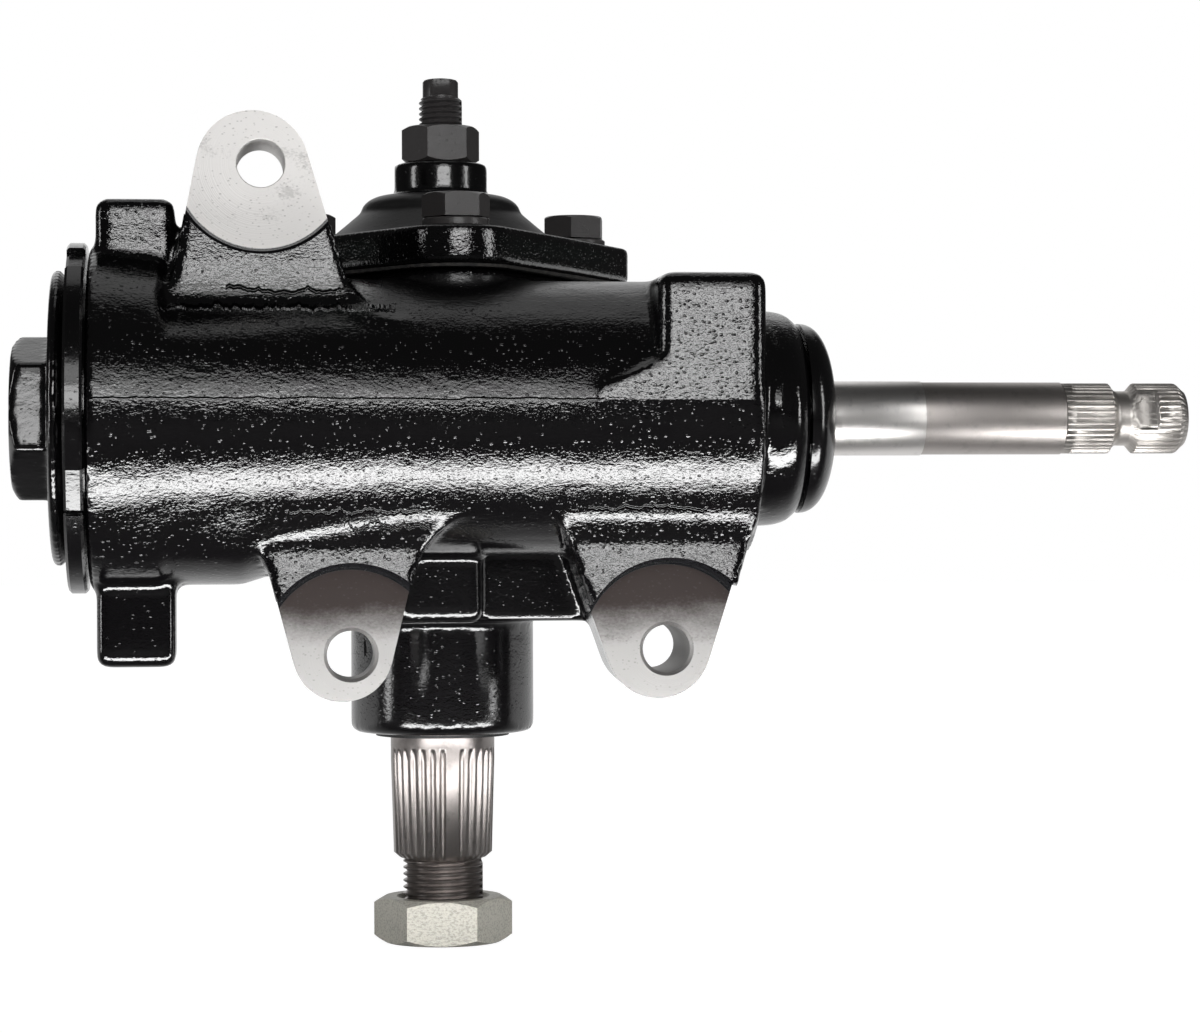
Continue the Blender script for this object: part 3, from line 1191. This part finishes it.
class GEARBOX_OT_steering_shaft(bpy.types.Operator):
    """Steering shaft: ground journal, satin shank, splines, pinch groove and milled flat"""
    bl_idname = "gearbox.steering_shaft"
    bl_label = "Steering Shaft"

    def execute(self, context):
        tip, root = SPLINE_RADIUS, SPLINE_RADIUS - 0.00060
        step = SHAFT_RADIUS - 0.00025
        runout = np.linspace(0, 1, 7)
        groove = np.linspace(0, 1, 13)
        low = SPLINE_RADIUS - 0.002125
        floor = tip - (tip - low) * np.clip(np.minimum(groove / 0.26, (1 - groove) / 0.26), 0, 1) ** 0.7
        rows = [(0.0862, POLE, POLE), (0.0862, SHAFT_RADIUS, SHAFT_RADIUS),
                (SHAFT_STEP, SHAFT_RADIUS, SHAFT_RADIUS), (SHAFT_STEP + 0.0003, step, step),
                (SPLINE_START, step, step), (SPLINE_START + 0.0001, tip, tip)]
        rows += [(SPLINE_START + 0.0035 * part, tip, tip - 0.0006 * np.sqrt(part)) for part in runout]
        rows += [(GROOVE_START - 0.0002, tip, root)]
        rows += [(GROOVE_START + (GROOVE_END - GROOVE_START) * part, reach, min(root, reach))
                 for part, reach in zip(groove, floor)]
        start, end = GROOVE_START + 0.0022, GROOVE_END + 0.0055
        rows += [(end - 0.00001, tip, root), (end, tip, root)]
        rows += [(SHAFT_END - 0.0026, tip, root), (SHAFT_END - 0.0020, tip - 0.0003, root),
                 (SHAFT_END - 0.0004, tip - 0.00185, tip - 0.00185),
                 (SHAFT_END, tip - 0.0022, tip - 0.0022), (SHAFT_END, POLE, POLE)]
        radius, height, angle = spline_rows(rows, 36)
        facing = np.pi - np.radians(16)
        lean = np.cos(angle - facing)
        flat = np.where(lean > 0.3, 0.0076 / np.maximum(lean, 0.3), 1.0)
        milled = (height >= start) & (height < end)
        radius = np.where(milled, np.minimum(radius, flat[None]), radius)
        shank = polar("shank", radius, height, angle, "worm")
        inner = kept_part("wormshaft", (1, 0, 0), (0.0865, 0, 0))
        item = new_object("steering_shaft", shank, inner)

        def choose(middle, normal):
            x = middle[:, 0]
            outer = np.where(x < SHAFT_STEP, 0, np.where(x < SPLINE_START, 1, 2))
            return np.where(x < 0.0864, 3, outer)

        dress(item, "worm", "shaft_steel", MATERIALS["ground"], MATERIALS["satin_steel"],
              MATERIALS["spline_steel"], MATERIALS["inner_steel"], choose=choose)
        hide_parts("wormshaft")
        self.seal()
        return {"FINISHED"}

    @staticmethod
    def seal():
        """Domed seal: its height over the nose follows the sine of the way to its bore."""
        inner, rim, face = SHAFT_RADIUS + GAP, NOSE_TIP_RADIUS - 0.0002, NOSE_RIGHT + GAP
        angle = np.linspace(0, np.pi / 2, 17)
        dome = [(inner + (rim - inner) * np.cos(part), face + 0.0084 * np.sin(part) ** 0.85)
                for part in angle]
        profile = [(inner, 0.0835), (SEAL_BORE - GAP, 0.0835), (SEAL_BORE - GAP, face)] + dome
        item = new_object("nose_seal", turned("seal", profile, 112, "worm", loop=True))
        dress(item, "housing", "seal_rubber", MATERIALS["gloss"])
        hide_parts("worm_seal")


class GEARBOX_OT_pitman_shaft(bpy.types.Operator):
    """Pitman shaft's outer end: shoulder, tapered splines and thread, with its nut and seal"""
    bl_idname = "gearbox.pitman_shaft"
    bl_label = "Pitman Shaft"

    def execute(self, context):
        pitch = context.scene.gearbox_sizes.pitman_pitch
        thread = polar("thread", *thread_rows(PITMAN_THREAD, 0.0100, pitch, 0.0, 0.0238))
        depth, end, top = 0.00105, SHOULDER_RADIUS - 0.00075, SHOULDER_RADIUS
        runout = np.linspace(0, 1, 7)
        rows = [(0.0230, POLE, POLE), (0.0230, 0.0101, 0.0101),
                (0.0238, end - 0.0016, end - 0.0016), (0.0252, end, end - depth),
                (0.0510, top, top - depth)]
        rows += [(0.0510 + 0.0035 * part, top, top - depth * (1 - part) ** 0.6) for part in runout[1:]]
        rows += [(0.0546, top, top), (0.0665, top, top), (0.0672, JOURNAL_RADIUS, JOURNAL_RADIUS),
                 (0.0680, JOURNAL_RADIUS, JOURNAL_RADIUS), (0.0680, POLE, POLE)]
        splines = polar("splines", *spline_rows(rows, 32, np.radians(-77), range(7, 32, 8)))
        inner = kept_part("sector_shaft", (0, 0, 1), (0, 0, 0.0678))
        item = new_object("pitman_shaft", thread, splines, inner)
        dress(item, "sector", "shaft_steel", MATERIALS["pitman_steel"])
        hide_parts("sector_shaft")
        self.nut()
        return {"FINISHED"}

    @staticmethod
    def nut():
        nut = new_object("pitman_shaft_nut", nut_mesh(PITMAN_NUT_FLATS, PITMAN_THREAD + GAP, 0.0016,
                                                      GAP, 0.0128, -5))
        dress(nut, "sector", "zinc_plate", MATERIALS["zinc"], sharp=20)
        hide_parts("pitman_nut")
        inner = SHOULDER_RADIUS + GAP
        seal = new_object("pitman_shaft_seal", turned("seal", [
            (inner, 0.0577), (0.0185, 0.0577), (0.0187, 0.0587), (0.0207, 0.0587), (0.0207, 0.0655),
            (inner + 0.0015, 0.0655), (inner, 0.0615)], 96, loop=True))
        dress(seal, "housing", "seal_rubber", MATERIALS["rubber"])
        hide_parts("pitman_seal")


class GEARBOX_OT_inner_parts(bpy.types.Operator):
    """Finishes of the bearings, the ball nut, its guides and the other inner parts"""
    bl_idname = "gearbox.inner_parts"
    bl_label = "Inner Parts"

    def execute(self, context):
        finishes = {
            "inner_steel": ("ball_nut", "ball_guide_left", "ball_guide_right", "guide_clamp",
                            "guide_clamp_screw", "thrust_bearing_cup", "input_bearing_cup",
                            "bearing_retainer", "lash_adjuster_shim"),
            "spline_steel": ("ball_train_left", "ball_train_right", "thrust_bearing_balls",
                             "input_bearing_balls"),
            "bronze": ("sector_bushing_lower", "sector_bushing_upper", "cover_bushing"),
            "paper": ("side_cover_gasket",),
        }
        for finish, nodes in finishes.items():
            for node in nodes:
                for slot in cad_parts[node].material_slots:
                    slot.material = MATERIALS[finish]
        return {"FINISHED"}


class GEARBOX_OT_studio(bpy.types.Operator):
    """Camera at the photograph's place, pale floor and soft lights"""
    bl_idname = "gearbox.studio"
    bl_label = "Studio"

    def execute(self, context):
        context.scene.view_settings.view_transform = "Standard"
        self.camera(context.scene)
        self.floor()
        self.world(context.scene)
        self.lights(context.scene)
        return {"FINISHED"}

    @staticmethod
    def camera(scene):
        data = bpy.data.cameras.new("camera")
        data.sensor_fit, data.sensor_width, data.lens = "HORIZONTAL", 36.0, 99.54
        data.clip_start, data.clip_end = 0.01, 50.0
        item = bpy.data.objects.new("camera", data)
        yaw, roll = np.radians(6.62), np.radians(0.2)
        look = Vector((np.sin(yaw), np.cos(yaw), 0))
        right, up = Vector((np.cos(yaw), -np.sin(yaw), 0)), Vector((0, 0, 1))
        side = right * np.cos(roll) - up * np.sin(roll)
        top = up * np.cos(roll) + right * np.sin(roll)
        axes = Matrix((side, top, -look)).transposed().to_4x4()
        item.matrix_world = Matrix.Translation((-0.0629073, -0.925, 0.1183285)) @ axes
        scene.collection.objects.link(item)
        scene.camera = item

    @staticmethod
    def floor():
        """Round pale floor that fades into the white backdrop."""
        radius = np.array([5.0, 2.0, 0.8, 0.3, 0.0])[:, None]
        angle = np.linspace(0, 2 * np.pi, 96, endpoint=False)
        rings = np.stack([radius * np.cos(angle), radius * np.sin(angle),
                          np.full((len(radius), len(angle)), FLOOR)], axis=-1)
        item = new_object("floor", skin("floor", rings, filled=False))
        material, tree, shader = new_material("floor", (0.08, 0.08, 0.08), 0.9)
        path, seen = seen_directly(tree)
        y = place_parts(tree)[1]
        mirrored = product(tree, path["Is Glossy Ray"], ramp(tree, y, -0.06, 0.10))
        seen = maths(tree, "MULTIPLY_ADD", mirrored, 0.8, seen)
        strength = product(tree, seen, ramp(tree, y, 0.25, 0.60, 0.97, 1.0))
        glow = add_node(tree, "ShaderNodeEmission", {"Color": (1, 1, 1, 1), "Strength": strength})
        both = add_node(tree, "ShaderNodeAddShader", {0: shader.outputs[0], 1: glow.outputs[0]})
        fill(tree, tree.nodes["Material Output"], {0: both.outputs[0]})
        item.data.materials.append(material)

    @staticmethod
    def world(scene):
        world = bpy.data.worlds.new("studio")
        scene.world = world
        world.use_nodes = True
        tree = world.node_tree
        path, seen = seen_directly(tree)
        # the backdrop stands behind the object, so metal and gloss paint mirror it from there
        way = add_node(tree, "ShaderNodeTexCoord").outputs["Generated"]
        way = add_node(tree, "ShaderNodeSeparateXYZ", {0: way}).outputs
        wide = maths(tree, "ABSOLUTE", way[0])
        backdrop = product(tree, ramp(tree, way[1], 0.3, 0.6), ramp(tree, way[2], 0.88, 0.6))
        backdrop = product(tree, backdrop, ramp(tree, wide, 0.5, 0.2))
        mirrored = product(tree, path["Is Glossy Ray"], backdrop)
        shown = maths(tree, "MULTIPLY_ADD", maths(tree, "MAXIMUM", seen, mirrored), 0.97, 0.03)
        fill(tree, tree.nodes["Background"], {"Color": (1, 1, 1, 1), "Strength": shown})

    @staticmethod
    def lights(scene):
        """Softboxes as (name, place, aim, width, height, brightness in W per square metre)."""
        boxes = (
            ("key", (0.07, -1.02, 0.36), (0.03, -0.05, 0.15), 0.60, 0.22, 21),
            ("high", (0.06, -0.90, 0.60), (0.03, -0.05, 0.15), 0.60, 0.22, 7),
            ("low", (0.02, -0.145, 0.004), (0.02, -0.08, 0.13), 0.44, 0.07, 42),
            ("top", (0.0, 0.20, 0.95), (0.0, -0.03, 0.15), 0.5, 0.4, 1.5),
            ("left", (-0.93, -0.25, 0.22), (-0.05, -0.03, 0.14), 0.16, 0.7, 16),
            ("right", (0.86, -0.46, 0.25), (0.05, -0.03, 0.14), 0.16, 0.7, 16),
        )
        for name, place, aim, width, height, glow in boxes:
            data = bpy.data.lights.new(name, "AREA")
            data.shape, data.size, data.size_y = "RECTANGLE", width, height
            data.energy = glow * width * height
            item = bpy.data.objects.new(name, data)
            turn = (Vector(aim) - Vector(place)).to_track_quat("-Z", "Y")
            item.matrix_world = Matrix.Translation(place) @ turn.to_matrix().to_4x4()
            item.visible_camera = False
            scene.collection.objects.link(item)


class GEARBOX_PT_panel(bpy.types.Panel):
    """Lists the pieces and their sizes and colours"""
    bl_idname = "GEARBOX_PT_panel"
    bl_label = "Steering Gearbox"
    bl_space_type = "VIEW_3D"
    bl_region_type = "UI"
    bl_category = "Gearbox"

    def draw(self, context):
        for operator in PIECES + (GEARBOX_OT_studio,):
            self.layout.operator(operator.bl_idname)
        for group in (context.scene.gearbox_sizes, context.scene.gearbox_finish):
            for label in group.__annotations__:
                self.layout.prop(group, label)


PIECES = (GEARBOX_OT_housing, GEARBOX_OT_side_cover, GEARBOX_OT_cover_bolts, GEARBOX_OT_lash_adjuster,
          GEARBOX_OT_adjuster_plug, GEARBOX_OT_steering_shaft, GEARBOX_OT_pitman_shaft,
          GEARBOX_OT_inner_parts)
CLASSES = (GearboxSizes, GearboxFinish, *PIECES, GEARBOX_OT_studio, GEARBOX_PT_panel)


def register():
    for item in CLASSES:
        bpy.utils.register_class(item)
    bpy.types.Scene.gearbox_sizes = PointerProperty(type=GearboxSizes)
    bpy.types.Scene.gearbox_finish = PointerProperty(type=GearboxFinish)


def unregister():
    del bpy.types.Scene.gearbox_finish
    del bpy.types.Scene.gearbox_sizes
    for item in reversed(CLASSES):
        bpy.utils.unregister_class(item)


def main():
    register()
    build_materials()
    bpy.ops.gearbox.housing()
    bpy.ops.gearbox.side_cover()
    bpy.ops.gearbox.cover_bolts()
    bpy.ops.gearbox.lash_adjuster()
    bpy.ops.gearbox.adjuster_plug()
    bpy.ops.gearbox.steering_shaft()
    bpy.ops.gearbox.pitman_shaft()
    bpy.ops.gearbox.inner_parts()
    bpy.ops.gearbox.studio()


if __name__ == "__main__":
    main()
